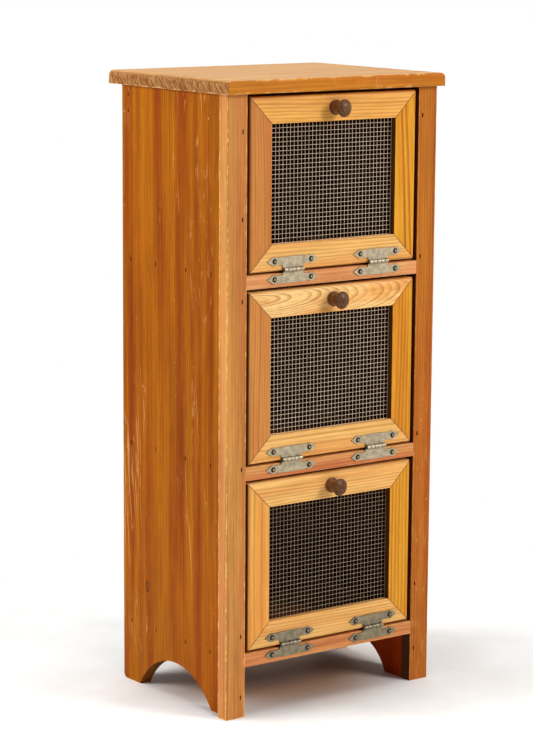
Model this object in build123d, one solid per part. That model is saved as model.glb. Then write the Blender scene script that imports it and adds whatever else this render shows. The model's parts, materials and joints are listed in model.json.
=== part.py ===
from build123d import *
import math
import os

# A free-standing vegetable bin with three drop-front doors, each a mitred frame round wire mesh.
# Millimetres, +Z up. The floor is z = 0, the front faces -Y, and the origin is the middle of the
# floor under the whole bin, overhangs and knobs included.

# Face frame
frame_width = 365.0
frame_thick = 19.0
stile_width = 32.5
rail_height = 19.0
doorway_height = 248.5
leg_height = 72.5

# Carcass
body_depth = 260.0
side_thick = 19.0
corner_depth = 89.0
shelf_thick = 19.0
back_thick = 6.0
rear_cleat_height = 50.0
rear_cleat_thick = 19.0
front_cleat_height = 16.0
front_cleat_thick = 19.0

# Arches sawn by hand through each side panel and its corner board, so the two differ
arch_centre = 125.0
left_arch_radius = 107.0
left_arch_height = 54.0
left_toe_lift = 6.0
right_arch_radius = 73.0
right_arch_height = 43.5
heel_radius = 8.0

# Top board
top_thick = 19.0
top_front_overhang = 11.0
top_side_overhang = 7.0
top_rear_overhang = 24.0
top_end_radius = 8.0
top_front_radius = 2.0

# Doors
door_thick = 18.5
door_member = 37.5
door_side_gap = 4.5
door_top_gap = 5.0
door_bottom_gap = 3.0
door_edge_radius = 4.5
door_inner_radius = 1.0
rabbet_width = 9.5
rabbet_depth = 9.5

# Wire mesh, drawn with one gap for each two by two real cells of the cloth
mesh_cell = 6.35
mesh_cells_per_gap = 2
mesh_bar = 1.6
mesh_thick = 1.0
mesh_edge_gap = 1.0

# Staples that hold the mesh into the rabbet
staple_crown = 10.0
staple_wire = 1.2
staple_leg = 6.0
staples_along = 4
staples_up = 3

# Knobs
knob_foot_radius = 10.6
knob_foot_thick = 3.0
knob_neck_radius = 7.2
knob_neck_height = 9.5
knob_head_radius = 12.5
knob_rim_height = 20.5
knob_height = 25.5
knob_screw_radius = 2.0
knob_screw_bite = 15.0
knob_screw_head_radius = 4.0
knob_screw_head_height = 2.4

# Surface hinges, whose leaves lie on the rail and on the door
hinge_left = 72.0
hinge_right = 78.0
hinge_axis_rise = 4.5
hinge_leaf_thick = 1.5
hinge_leaf_reach = 12.5
hinge_arm_height = 12.0
hinge_waist_height = 9.4
hinge_neck_radius = 2.5
hinge_lobe_radius = 6.2
hinge_screw_spacing = 63.0
hinge_length = 87.0
barrel_length = 34.5
barrel_radius = 2.9
barrel_wood_gap = 0.2
knuckle_count = 5
knuckle_gap = 0.8
knuckle_swing_gap = 0.5
pin_radius = 1.4
pin_running_gap = 0.05
pin_end = 0.6

# Round-head wood screws of the hinges and the catches
screw_radius = 1.4
screw_length = 12.0
screw_head_radius = 3.9
screw_head_height = 2.3
screw_slot_width = 1.0
screw_slot_depth = 1.2

# Magnetic catches
catch_length = 46.0
catch_width = 13.0
catch_plate = 3.0
catch_body_length = 26.0
catch_body_reach = 14.0
catch_screw_spacing = 36.0
catch_drop = 44.0
catch_gap = 0.3
strike_width = 10.0
strike_thick = 1.2
strike_edge = 1.0

# Room round every screw, nail and staple in its hole
pilot_gap = 0.05

# Finishing nails with flat heads, driven below the surface
nail_radius = 0.8
nail_head_width = 2.2
nail_head_height = 6.0
nail_head_thick = 1.2
nail_set_depth = 2.0
side_nail_length = 50.0
face_nail_length = 32.0
side_nail_rows = (38.5, 100.0, 175.0, 239.0)
cleat_nail_drops = (13.0, 36.5)
face_nail_inset = 7.0
left_face_nails = (29.5, 118.0, 357.0, 591.5, 704.5, 824.0)
right_face_nails = (49.5, 147.0, 372.5, 632.0, 834.0)

# Nails of the back panel and screws of the top board
back_nail_radius = 0.9
back_nail_length = 22.0
back_nail_head_radius = 2.6
back_nail_head_thick = 0.8
back_nail_spacing = 72.0
back_nails_per_row = 4
top_screw_radius = 2.0
top_screw_bite = 12.0
top_screw_head_radius = 4.0
top_screw_head_height = 2.4
top_screw_spacing = 240.0

# Values worked out from the sizes above
levels = ("lower", "middle", "upper")
floor_pitch = rail_height + doorway_height
rail_tops = [leg_height + rail_height + i * floor_pitch for i in range(len(levels))]
top_under = leg_height + len(levels) * floor_pitch
half_width = frame_width / 2
inner_half = half_width - stile_width
side_inner = half_width - side_thick
overall_depth = knob_height + body_depth + top_rear_overhang
face_y = knob_height - overall_depth / 2
behind_frame = face_y + frame_thick
rear_y = face_y + body_depth
back_front = rear_y - back_thick
cleat_middle = back_front - rear_cleat_thick / 2

door_width = 2 * (inner_half - door_side_gap)
door_height = doorway_height - door_top_gap - door_bottom_gap
window_width = door_width - 2 * door_member
window_height = door_height - 2 * door_member
window_low = door_member
window_high = door_height - door_member
door_back = face_y + door_thick
mesh_front = door_back - rabbet_depth

axis_y = face_y - barrel_radius - barrel_wood_gap
axis_above_door = hinge_axis_rise - door_bottom_gap
leaf_front = barrel_radius + barrel_wood_gap - hinge_leaf_thick
hinge_places = (-hinge_left, hinge_right)
knob_z = door_height - door_member / 2
catch_z = door_height - catch_drop
catch_front = door_back + strike_thick + catch_gap
strike_x = door_width / 2 - strike_edge - strike_width / 2


def block(x, y, z):
    """A box between two limits along each axis."""
    middle = Pos((x[0] + x[1]) / 2, (y[0] + y[1]) / 2, (z[0] + z[1]) / 2)
    return middle * Box(x[1] - x[0], y[1] - y[0], z[1] - z[0])


def span(side, near, far):
    """Limits along X at two distances from the middle, on one side of the bin."""
    return sorted((side * near, side * far))


def rod(radius, start, end):
    """A round bar from one point to another along an axis."""
    run = Vector(*end) - Vector(*start)
    base = Plane(origin=start, z_dir=run)
    return extrude(base * Circle(radius), amount=run.length)


def spun(*points):
    """A solid of revolution about the Y axis with a straight-sided outline."""
    return revolve(make_face(Polyline(*points, close=True)), Axis.Y)


def level_edges(shape, y):
    """The edges of a shape that lie in one upright plane across the bin."""
    limits = [(e, e.bounding_box()) for e in shape.edges()]
    return [e for e, box in limits if abs(box.min.Y - y) < 1e-4 and abs(box.max.Y - y) < 1e-4]


# Fasteners and their holes are made pointing along +Y, with the underside of the head at the origin

def round_head_screw():
    """A domed wood screw with a crossed drive recess."""
    dome = (screw_head_radius ** 2 + screw_head_height ** 2) / (2 * screw_head_height)
    outline = RadiusArc((0, -screw_head_height), (screw_head_radius, 0), -dome)
    outline += Polyline((screw_head_radius, 0), (screw_radius, 0), (screw_radius, screw_length),
                        (0, screw_length), (0, -screw_head_height))
    slot = (-screw_head_height - 1, screw_slot_depth - screw_head_height)
    across = (-screw_head_radius / 2, screw_head_radius / 2)
    narrow = (-screw_slot_width / 2, screw_slot_width / 2)
    screw = revolve(make_face(outline), Axis.Y)
    return screw - [block(across, slot, narrow), block(narrow, slot, across)]


def flat_head(head_radius, head_height, shank_radius, length):
    """A plain round fastener with a flat head, for a screw or a nail."""
    return spun((0, -head_height), (head_radius, -head_height), (head_radius, 0),
                (shank_radius, 0), (shank_radius, length), (0, length))


def hole(shank_radius, length):
    """The hole for the shank of a round fastener."""
    return rod(shank_radius + pilot_gap, (0, -1, 0), (0, length, 0))


def finishing_nail(length):
    """A nail with a flat upright head, whose face lies below the surface of the wood."""
    under = nail_set_depth + nail_head_thick
    head = block((-nail_head_width / 2, nail_head_width / 2), (nail_set_depth, under),
                 (-nail_head_height / 2, nail_head_height / 2))
    return head + rod(nail_radius, (0, under, 0), (0, nail_set_depth + length, 0))


def finishing_nail_hole(length):
    """The slot left above the head of a driven nail, and the hole round the rest of it."""
    across = nail_head_width / 2 + pilot_gap
    up = nail_head_height / 2 + pilot_gap
    slot = block((-across, across), (-1, nail_set_depth + nail_head_thick), (-up, up))
    return slot + hole(nail_radius, nail_set_depth + length)


# Places of the nails and screws of the carcass

def at_side_nails(side, shape):
    """Copies of a shape, turned into one side of the bin, at each of its nails."""
    turned = Rot(0, 0, 90 * side) * shape
    x = side * half_width
    places = [(x, face_y + row, top) for top in rail_tops for row in side_nail_rows]
    places += [(x, cleat_middle, top_under - drop) for drop in cleat_nail_drops]
    return [Pos(*place) * turned for place in places]


def at_face_nails(side, shape):
    """Copies of a shape at each nail in the front of one stile."""
    x = side * (inner_half + face_nail_inset)
    heights = left_face_nails if side < 0 else right_face_nails
    return [Pos(x, face_y, z) * shape for z in heights]


def at_back_nails(shape):
    """Copies of a shape at each nail through the back panel into a shelf or the rear cleat."""
    turned = Rot(0, 0, 180) * shape
    heights = rail_tops + [top_under - rear_cleat_height / 2]
    first = -back_nail_spacing * (back_nails_per_row - 1) / 2
    return [Pos(first + i * back_nail_spacing, rear_y, z) * turned
            for z in heights for i in range(back_nails_per_row)]


def at_top_screws(shape):
    """Copies of a shape at each screw that comes up through a cleat into the top board."""
    turned = Rot(90, 0, 0) * shape
    return [Pos(x, y, top_under - front_cleat_height) * turned
            for y in (behind_frame + front_cleat_thick / 2, cleat_middle)
            for x in (-top_screw_spacing / 2, top_screw_spacing / 2)]


# Carcass pieces

def foot_cuts(side):
    """What is sawn from the foot of one side: the arch, and the lift under a short toe."""
    radius = left_arch_radius if side < 0 else right_arch_radius
    height = left_arch_height if side < 0 else right_arch_height
    y = face_y + arch_centre
    z = height - radius
    near, far = span(side, inner_half - 1, half_width + 1)
    cuts = [rod(radius, (near, y, z), (far, y, z))]
    if side < 0:
        cuts.append(block((near, far), (behind_frame - 1, y), (-1, left_toe_lift)))
    return cuts


def side_panel(side, holes):
    """A board with an arched foot and a rounded heel, nailed to the shelves."""
    x = span(side, side_inner, half_width)
    panel = block(x, (behind_frame, rear_y), (0, top_under))
    heel = [e for e in panel.edges().filter_by(Axis.X)
            if e.center().Y > rear_y - 1 and e.center().Z < 1]
    panel = fillet(heel, heel_radius)
    return panel - (foot_cuts(side) + holes)


def corner_board(side, holes):
    """The board behind a stile, level with its inner edge, that the stile is nailed to."""
    x = span(side, inner_half, side_inner)
    board = block(x, (behind_frame, behind_frame + corner_depth), (0, top_under))
    return board - (foot_cuts(side) + holes)


def stile(side, holes):
    """An upright of the face frame, which is also the front of a leg."""
    return block(span(side, inner_half, half_width), (face_y, behind_frame), (0, top_under)) - holes


def rail(top, holes):
    """A crosspiece of the face frame, below a door, that carries its hinges."""
    bar = block((-inner_half, inner_half), (face_y, behind_frame), (top - rail_height, top))
    return bar - holes


def shelf(top, holes):
    """A shelf whose front edge stands above the rail and stops the foot of the door."""
    z = (top - shelf_thick / 2, top + shelf_thick / 2)
    board = block((-side_inner, side_inner), (behind_frame, back_front), z)
    notch = (behind_frame, behind_frame + corner_depth)
    return board - ([block(span(s, inner_half, side_inner), notch, z) for s in (-1, 1)] + holes)


def back_panel(holes):
    """A thin sheet let in between the side panels."""
    low = rail_tops[0] - shelf_thick / 2
    return block((-side_inner, side_inner), (back_front, rear_y), (low, top_under)) - holes


def rear_cleat(holes):
    """A strip behind the top that is nailed through the sides and screwed to the top board."""
    low = top_under - rear_cleat_height
    strip = block((-side_inner, side_inner), (back_front - rear_cleat_thick, back_front),
                  (low, top_under))
    seats = [rod(top_screw_head_radius + pilot_gap, (x, cleat_middle, low - 1),
                 (x, cleat_middle, top_under - front_cleat_height))
             for x in (-top_screw_spacing / 2, top_screw_spacing / 2)]
    return strip - (seats + holes)


def front_cleat(holes):
    """A strip under the front of the top board that stops the top of the upper door."""
    y = (behind_frame, behind_frame + front_cleat_thick)
    return block((-inner_half, inner_half), y, (top_under - front_cleat_height, top_under)) - holes


def top_board(holes):
    """The top, which overhangs all round, with rounded ends and an eased front edge."""
    front = face_y - top_front_overhang
    reach = half_width + top_side_overhang
    board = block((-reach, reach), (front, rear_y + top_rear_overhang),
                  (top_under, top_under + top_thick))
    ends = [e for e in board.edges().filter_by(Axis.Y) if e.center().Z > top_under + 1]
    board = fillet(ends, top_end_radius)
    board = fillet(level_edges(board, front), top_front_radius)
    return board - holes


# Hinges, made with the pin along X through the origin, the frame leaf below and the wood behind

def leaf_outline():
    """The flat shape of the frame leaf: a bowed bar with round lobes, spear tips and a wide neck."""
    half = hinge_screw_spacing / 2
    z = -hinge_leaf_reach
    tip = hinge_length / 2 - half
    tangent = hinge_lobe_radius ** 2 / tip
    lift = math.sqrt(hinge_lobe_radius ** 2 - tangent ** 2)
    middle = hinge_arm_height / 2
    waist = hinge_waist_height / 2
    upper = ThreePointArc((-half, z + waist), (0, z + middle), (half, z + waist))
    lower = ThreePointArc((half, z - waist), (0, z - middle), (-half, z - waist))
    bar = make_face([upper, Line(upper @ 1, lower @ 0), lower, Line(lower @ 1, upper @ 0)])
    shape = bar + Pos(0, z / 2) * Rectangle(barrel_length, hinge_leaf_reach)
    corners = [v for v in shape.vertices() if abs(abs(v.X) - barrel_length / 2) < 1e-4
               and z < v.Y < -hinge_neck_radius]
    shape = fillet(corners, hinge_neck_radius)
    parts = []
    for side in (-1, 1):
        x = side * half
        spear = Polyline((x + side * tip, z), (x + side * tangent, z + lift), (x, z),
                         (x + side * tangent, z - lift), close=True)
        parts += [Pos(x, z) * Circle(hinge_lobe_radius), make_face(spear)]
    return shape + parts


def hinge_leaf(own, bore):
    """A leaf with its own knuckles, cut away round the knuckles of the other leaf."""
    plate = extrude(Plane.XZ.offset(-leaf_front) * leaf_outline(), amount=-hinge_leaf_thick)
    clear = barrel_radius + knuckle_swing_gap
    pitch = barrel_length / knuckle_count
    knuckles = []
    gaps = []
    for i in range(knuckle_count):
        start = i * pitch - barrel_length / 2
        end = start + pitch
        if i % 2 == own:
            inset = knuckle_gap / 2
            knuckles.append(rod(barrel_radius, (start + inset, 0, 0), (end - inset, 0, 0)))
        else:
            gaps.append(rod(clear, (start, 0, 0), (end, 0, 0)))
    plate = (plate - gaps) + knuckles
    holes = at_leaf_screws(hole(screw_radius, screw_length))
    return plate - ([rod(bore, (-hinge_length, 0, 0), (hinge_length, 0, 0))] + holes)


def at_leaf_screws(shape):
    """Copies of a shape at both screws of a frame leaf."""
    half = hinge_screw_spacing / 2
    return [Pos(x, leaf_front, -hinge_leaf_reach) * shape for x in (-half, half)]


def upside_down(shape):
    """The door leaf and its screws are those of the frame leaf turned over about the pin."""
    return mirror(shape, about=Plane.XY)


def hinge_pin():
    """The pin, held by the frame leaf, with a little of it past each end of the barrel."""
    reach = barrel_length / 2 + pin_end
    return rod(pin_radius, (-reach, 0, 0), (reach, 0, 0))


def at_hinges(shapes, z):
    """Copies of some shapes at both hinges, whose pins are at one height."""
    return [Pos(x, axis_y, z) * shape for x in hinge_places for shape in shapes]


# Magnetic catches, screwed to the right corner board behind each door

def at_catch_screws(z, shape):
    """Copies of a shape at both screws of a catch, pointing into the corner board."""
    turned = Rot(0, 0, -90) * shape
    y = catch_front + catch_width / 2
    half = catch_screw_spacing / 2
    return [Pos(inner_half - catch_plate, y, z + rise) * turned for rise in (-half, half)]


def catch(z, holes):
    """A plate against the corner board with a magnet housing that faces the door."""
    y = (catch_front, catch_front + catch_width)
    plate = block((inner_half - catch_plate, inner_half), y,
                  (z - catch_length / 2, z + catch_length / 2))
    body = block((inner_half - catch_body_reach, inner_half), y,
                 (z - catch_body_length / 2, z + catch_body_length / 2))
    return (plate + body) - holes


# Doors, made with the foot of the door at z = 0

def knob():
    """A turned wooden knob with a foot, a neck and a domed head."""
    foot = face_y - knob_foot_thick
    neck = face_y - knob_neck_height
    rim = face_y - knob_rim_height
    front = face_y - knob_height
    dome = (knob_head_radius ** 2 + (rim - front) ** 2) / (2 * (rim - front))
    outline = Polyline((0, front), (0, face_y), (knob_foot_radius, face_y), (knob_foot_radius, foot))
    outline += Spline((knob_foot_radius, foot), (knob_neck_radius, neck), (knob_head_radius, rim),
                      tangents=((-1, -0.4), (0.5, -1)))
    outline += RadiusArc((knob_head_radius, rim), (0, front), dome)
    return Pos(0, 0, knob_z) * revolve(make_face(outline), Axis.Y)


def at_knob_screw(shape):
    """A shape at the screw that comes through the door from behind into the knob."""
    return Pos(0, door_back, knob_z) * (Rot(0, 0, 180) * shape)


def door_ring():
    """The whole door frame before it is parted at the mitres."""
    half = door_width / 2
    window = window_width / 2
    ring = block((-half, half), (face_y, door_back), (0, door_height))
    ring = fillet(level_edges(ring, face_y), door_edge_radius)
    ring = ring - block((-window, window), (face_y - 1, door_back + 1), (window_low, window_high))
    eased = [e for e in level_edges(ring, face_y) if abs(e.center().X) < window + 1
             and window_low - 1 < e.center().Z < window_high + 1]
    ring = fillet(eased, door_inner_radius)
    return ring - block((-window - rabbet_width, window + rabbet_width),
                        (mesh_front, door_back + 1),
                        (window_low - rabbet_width, window_high + rabbet_width))


def door_members(holes):
    """The four mitred members of a door, by name."""
    half = door_width / 2
    window = window_width / 2
    outer = [(-half, 0), (half, 0), (half, door_height), (-half, door_height)]
    inner = [(-window, window_low), (window, window_low), (window, window_high),
             (-window, window_high)]
    ring = door_ring() - holes
    members = {}
    for i, name in enumerate(("bottom_rail", "right_stile", "top_rail", "left_stile")):
        j = (i + 1) % len(outer)
        wedge = make_face(Polyline(outer[i], outer[j], inner[j], inner[i], close=True))
        members[name] = ring & extrude(Plane.XZ.offset(-door_back) * wedge, amount=door_thick)
    return members


def staple(ease):
    """A staple with its crown against the mesh, or with some ease the hole for one."""
    back = mesh_front + mesh_thick
    reach = staple_crown / 2 + ease
    inner = staple_crown / 2 - staple_wire - ease
    wire = (-staple_wire / 2 - ease, staple_wire / 2 + ease)
    legs = [block(span(side, inner, reach), (back - staple_leg, back + staple_wire), wire)
            for side in (-1, 1)]
    return block((-reach, reach), (back, back + staple_wire), wire) + legs


def at_staples(shape):
    """Copies of a shape at each staple, evenly spaced along each side of the window."""
    inset = rabbet_width / 2
    reach = window_width / 2 + inset
    places = []
    for i in range(staples_along):
        x = window_width * ((i + 0.5) / staples_along - 0.5)
        places += [Pos(x, 0, z) for z in (window_low - inset, window_high + inset)]
    for i in range(staples_up):
        z = window_low + window_height * (i + 0.5) / staples_up
        places += [Pos(x, 0, z) * Rot(0, 90, 0) for x in (-reach, reach)]
    return [place * shape for place in places]


def mesh_sheet(holes):
    """The wire mesh as one flat sheet with a square gap for each group of cells."""
    reach = rabbet_width - mesh_edge_gap
    pitch = mesh_cell * mesh_cells_per_gap
    columns = int(window_width / pitch)
    rows = int(window_height / pitch)
    gaps = GridLocations(pitch, pitch, columns, rows) * Rectangle(pitch - mesh_bar, pitch - mesh_bar)
    face = Rectangle(window_width + 2 * reach, window_height + 2 * reach) - gaps
    sheet = extrude(Plane.XZ.offset(-mesh_front) * face, amount=-mesh_thick)
    return Pos(0, 0, door_height / 2) * sheet - holes


def at_strike_screws(shape):
    """Copies of a shape at both screws of the strike plate."""
    turned = Rot(0, 0, 180) * shape
    half = catch_screw_spacing / 2
    return [Pos(strike_x, door_back + strike_thick, catch_z + rise) * turned
            for rise in (-half, half)]


def strike_plate(holes):
    """The steel plate on the back of the door that the magnet holds."""
    plate = block((strike_x - strike_width / 2, strike_x + strike_width / 2),
                  (door_back, door_back + strike_thick),
                  (catch_z - catch_length / 2, catch_z + catch_length / 2))
    return plate - holes


def at_door_leaves(shapes):
    """Copies at both hinges of some shapes made for a frame leaf, turned over for the door."""
    return at_hinges([upside_down(shape) for shape in shapes], axis_above_door)


def door_pieces():
    """Every piece of one door, by name, with the foot of the door at z = 0."""
    screw = round_head_screw()
    pilot = hole(screw_radius, screw_length)
    leaf_pilots = at_door_leaves(at_leaf_screws(pilot))
    strike_pilots = at_strike_screws(pilot)
    staple_holes = at_staples(staple(pilot_gap))
    bolt_length = door_thick + knob_screw_bite
    bolt = flat_head(knob_screw_head_radius, knob_screw_head_height, knob_screw_radius, bolt_length)
    bolt_hole = at_knob_screw(hole(knob_screw_radius, bolt_length))
    pieces = door_members(leaf_pilots + strike_pilots + staple_holes + [bolt_hole])
    pieces["mesh"] = mesh_sheet(staple_holes)
    pieces["knob"] = knob() - bolt_hole
    pieces["knob_screw"] = at_knob_screw(bolt)
    pieces["strike_plate"] = strike_plate(strike_pilots)
    pieces["mesh_staples"] = Compound(children=at_staples(staple(0)))
    leaves = at_door_leaves([hinge_leaf(1, pin_radius + pin_running_gap)])
    pieces["hinge_leaves"] = Compound(children=leaves)
    screws = at_door_leaves(at_leaf_screws(screw)) + at_strike_screws(screw)
    pieces["screws"] = Compound(children=screws)
    return pieces


def frame_hardware():
    """The rails and what is screwed to the frame, by name, and the holes for the catches."""
    screw = round_head_screw()
    pilot = hole(screw_radius, screw_length)
    pieces = {}
    pins, screws, catch_pilots = [], [], []
    for level, top in zip(levels, rail_tops):
        axis_z = top + hinge_axis_rise
        catch_level = top + door_bottom_gap + catch_z
        held = at_catch_screws(catch_level, pilot)
        leaves = at_hinges([hinge_leaf(0, pin_radius)], axis_z)
        pieces[level + "_rail"] = rail(top, at_hinges(at_leaf_screws(pilot), axis_z))
        pieces[level + "_magnetic_catch"] = catch(catch_level, held)
        pieces[level + "_hinge_frame_leaves"] = Compound(children=leaves)
        pins += at_hinges([hinge_pin()], axis_z)
        screws += at_hinges(at_leaf_screws(screw), axis_z) + at_catch_screws(catch_level, screw)
        catch_pilots += held
    pieces["hinge_pins"] = Compound(children=pins)
    pieces["frame_screws"] = Compound(children=screws)
    return pieces, catch_pilots


def carcass_pieces():
    """Every piece that stands still, by name."""
    pieces, catch_pilots = frame_hardware()
    nails, nail_holes = [], []
    for side, name in ((-1, "left"), (1, "right")):
        side_holes = at_side_nails(side, finishing_nail_hole(side_nail_length))
        face_holes = at_face_nails(side, finishing_nail_hole(face_nail_length))
        held = catch_pilots if side > 0 else []
        pieces[name + "_side_panel"] = side_panel(side, side_holes)
        pieces[name + "_corner_board"] = corner_board(side, side_holes + face_holes + held)
        pieces[name + "_stile"] = stile(side, face_holes)
        nails += at_side_nails(side, finishing_nail(side_nail_length))
        nails += at_face_nails(side, finishing_nail(face_nail_length))
        nail_holes += side_holes
    back_holes = at_back_nails(hole(back_nail_radius, back_nail_length))
    for level, top in zip(levels, rail_tops):
        pieces[level + "_shelf"] = shelf(top, nail_holes + back_holes)
    length = front_cleat_height + top_screw_bite
    top_holes = at_top_screws(hole(top_screw_radius, length))
    pieces["back_panel"] = back_panel(back_holes)
    pieces["rear_top_cleat"] = rear_cleat(nail_holes + back_holes + top_holes)
    pieces["front_top_cleat"] = front_cleat(top_holes)
    pieces["top_board"] = top_board(top_holes)
    pieces["finishing_nails"] = Compound(children=nails)
    pieces["back_panel_nails"] = Compound(children=at_back_nails(
        flat_head(back_nail_head_radius, back_nail_head_thick, back_nail_radius, back_nail_length)))
    pieces["top_board_screws"] = Compound(children=at_top_screws(
        flat_head(top_screw_head_radius, top_screw_head_height, top_screw_radius, length)))
    return pieces


def main():
    """Writes one file for each named piece."""
    os.makedirs("parts", exist_ok=True)
    parts = carcass_pieces()
    door = door_pieces()
    for level, top in zip(levels, rail_tops):
        for name, piece in door.items():
            parts[f"{level}_door_{name}"] = Pos(0, 0, top + door_bottom_gap) * piece
    for name, piece in parts.items():
        export_step(piece, f"parts/{name}.step")


main()
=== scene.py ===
"""Looks of a free-standing vegetable bin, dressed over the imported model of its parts.

Lengths are metres in the row's frame: the floor is z = 0, the doors face -Y and +X is right.
"""

from __future__ import annotations

import json
import logging
import math
import random
from dataclasses import dataclass, replace
from enum import Enum
from functools import cached_property, partialmethod
from typing import Union

import bmesh
import bpy
from mathutils import Euler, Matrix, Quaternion, Vector

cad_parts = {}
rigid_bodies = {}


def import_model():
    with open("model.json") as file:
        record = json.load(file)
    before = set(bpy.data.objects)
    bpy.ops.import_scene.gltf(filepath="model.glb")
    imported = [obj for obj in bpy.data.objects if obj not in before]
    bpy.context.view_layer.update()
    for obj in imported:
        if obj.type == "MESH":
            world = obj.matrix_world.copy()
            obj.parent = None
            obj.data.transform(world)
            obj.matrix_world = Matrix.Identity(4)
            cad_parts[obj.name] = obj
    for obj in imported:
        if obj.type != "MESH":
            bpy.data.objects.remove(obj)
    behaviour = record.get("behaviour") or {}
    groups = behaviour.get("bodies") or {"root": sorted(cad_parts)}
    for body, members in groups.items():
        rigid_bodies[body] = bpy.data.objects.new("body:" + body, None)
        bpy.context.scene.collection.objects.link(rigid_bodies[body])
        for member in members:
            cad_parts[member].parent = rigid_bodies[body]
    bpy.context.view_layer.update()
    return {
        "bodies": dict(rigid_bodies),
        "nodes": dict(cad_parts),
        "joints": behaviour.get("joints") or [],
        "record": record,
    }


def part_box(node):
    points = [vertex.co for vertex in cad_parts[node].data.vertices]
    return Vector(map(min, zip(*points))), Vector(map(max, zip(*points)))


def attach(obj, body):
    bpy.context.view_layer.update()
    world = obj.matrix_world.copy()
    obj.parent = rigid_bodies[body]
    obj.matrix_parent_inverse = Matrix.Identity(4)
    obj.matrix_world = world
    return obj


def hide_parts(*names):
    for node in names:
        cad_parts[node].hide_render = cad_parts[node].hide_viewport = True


LOG = logging.getLogger("vegetable_bin")
MM = 0.001
LEVELS = ("lower", "middle", "upper")
DOOR_MEMBERS = ("bottom_rail", "right_stile", "top_rail", "left_stile")

Colour = tuple[float, float, float]
Place = tuple[float, float, float]
Box = tuple[Vector, Vector]
Value = Union["Signal", float, tuple[float, ...], Vector]
Inputs = dict[Union[int, str], Value]
Tree = bpy.types.NodeTree
Material = bpy.types.Material
Object = bpy.types.Object


def srgb(red: int, green: int, blue: int) -> Colour:
    """Turns a colour as seen on a screen into linear light.

    Args:
        red: Red, from 0 to 255.
        green: Green, from 0 to 255.
        blue: Blue, from 0 to 255.

    Returns:
        The three linear values, from 0 to 1.
    """
    def linear(value: int) -> float:
        """One value in linear light."""
        share = value / 255
        return share / 12.92 if share <= 0.04045 else ((share + 0.055) / 1.055) ** 2.4

    return linear(red), linear(green), linear(blue)


class Grain(Enum):
    """The axis that a board's grain runs along."""

    X = "X"
    Y = "Y"
    Z = "Z"

    @property
    def axis(self) -> Place:
        """The axis as a vector."""
        return tuple(float(self.value == name) for name in "XYZ")

    @property
    def turn(self) -> Place:
        """The turn that brings the grain upright.

        Returns:
            The angles round X, Y and Z in radians.
        """
        quarter = math.pi / 2
        turns = {"X": (0.0, -quarter, 0.0), "Y": (quarter, 0.0, 0.0), "Z": (0.0, 0.0, 0.0)}
        return turns[self.value]


@dataclass(frozen=True)
class WoodFinish:
    """How one kind of varnished wood looks.

    Attributes:
        early: The pale wood of a growth ring.
        late: The dark wood of a growth ring.
        flush: The redder tone that drifts through the board.
        worn: Where the stain is rubbed away.
        ring_mm: How far apart the growth rings are.
        contrast: How strongly late wood shows, from 0 to 1.
        waviness_mm: How far the rings wander.
        fibre: The strength of the fine streaks.
        patina: The strength of slow changes of tone.
        wear: How strongly rubbed edges show.
        wear_mm: How far edge wear reaches.
        scuffs: How strongly rubs and nicks on the faces show.
        rubbed_spot: A place round which they are thickest.
        roughness: The varnish's roughness.
        gloss: The varnish's specular level.
        bleach_and_sheen: How strongly faces that look up have paled, from sun bleaching and
            painted sheen, from 0 to 1.
        bleach_and_sheen_colour: What they have paled to.
        shade: How strongly painted shade darkens faces that look one way, from 0 to 1.
        shade_way: The way that those faces look.
        shade_above: The height in metres that the painted shade starts at.
    """

    early: Colour
    late: Colour
    flush: Colour
    worn: Colour
    ring_mm: float = 3.2
    contrast: float = 0.6
    waviness_mm: float = 4.0
    fibre: float = 0.24
    patina: float = 0.2
    wear: float = 0.3
    wear_mm: float = 1.2
    scuffs: float = 0.0
    rubbed_spot: Place = (0.0, 0.0, -9.0)
    roughness: float = 0.45
    gloss: float = 0.2
    bleach_and_sheen: float = 0.0
    bleach_and_sheen_colour: Colour = (0.0, 0.0, 0.0)
    shade: float = 0.0
    shade_way: Place = (-1.0, 0.0, 0.0)
    shade_above: float = -1.0


@dataclass(frozen=True)
class MetalFinish:
    """How one kind of metal looks.

    Attributes:
        base: The clean metal.
        stain: What has settled in its dips.
        roughness: Its roughness.
        metallic: Its metallic share.
        dimple_mm: How wide the dimples are.
        dimple: How deep they look.
        rim: How dark the dirt and painted shade are on faces that don't look to the front, from 0
            to 1.
        rim_span: How squarely a face looks to the front where the dirt and painted shade are full,
            and where they end.
    """

    base: Colour
    stain: Colour
    roughness: float
    metallic: float
    dimple_mm: float
    dimple: float
    rim: float = 0.0
    rim_span: tuple[float, float] = (0.2, 0.6)


@dataclass(frozen=True)
class Member:
    """How one piece of wood is finished and was cut from the log.

    Attributes:
        finish: Its finish.
        pith_mm: Where the middle of the log lies, across the board, from its centre.
        tilt: The lean of the log's axis in degrees, which makes arched figure.
        knot_mm: The place of a knot from the board's centre, if it has one.
    """

    finish: WoodFinish
    pith_mm: tuple[float, float] = (60.0, 90.0)
    tilt: tuple[float, float] = (0.8, 1.2)
    knot_mm: Place | None = None


@dataclass(frozen=True)
class Board:
    """One CAD node of wood.

    Attributes:
        node: The node's name.
        grain: The axis that the grain runs along.
        cut: Its finish and its cut.
    """

    node: str
    grain: Grain
    cut: Member


@dataclass(frozen=True)
class DoorLook:
    """How one door looks.

    Attributes:
        level: The door's level.
        wire: The finish of its wire cloth.
        leaves: The finish of its hinge leaves.
        members: The wood of its frame, in the order of DOOR_MEMBERS.
    """

    level: str
    wire: MetalFinish
    leaves: MetalFinish
    members: tuple[Member, Member, Member, Member]


@dataclass(frozen=True)
class Lamp:
    """A square soft light that points at the object's middle.

    Attributes:
        name: Its name.
        place: Where it stands.
        size: Its side.
        power: Its power in watts.
    """

    name: str
    place: Place
    size: float
    power: float


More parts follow.
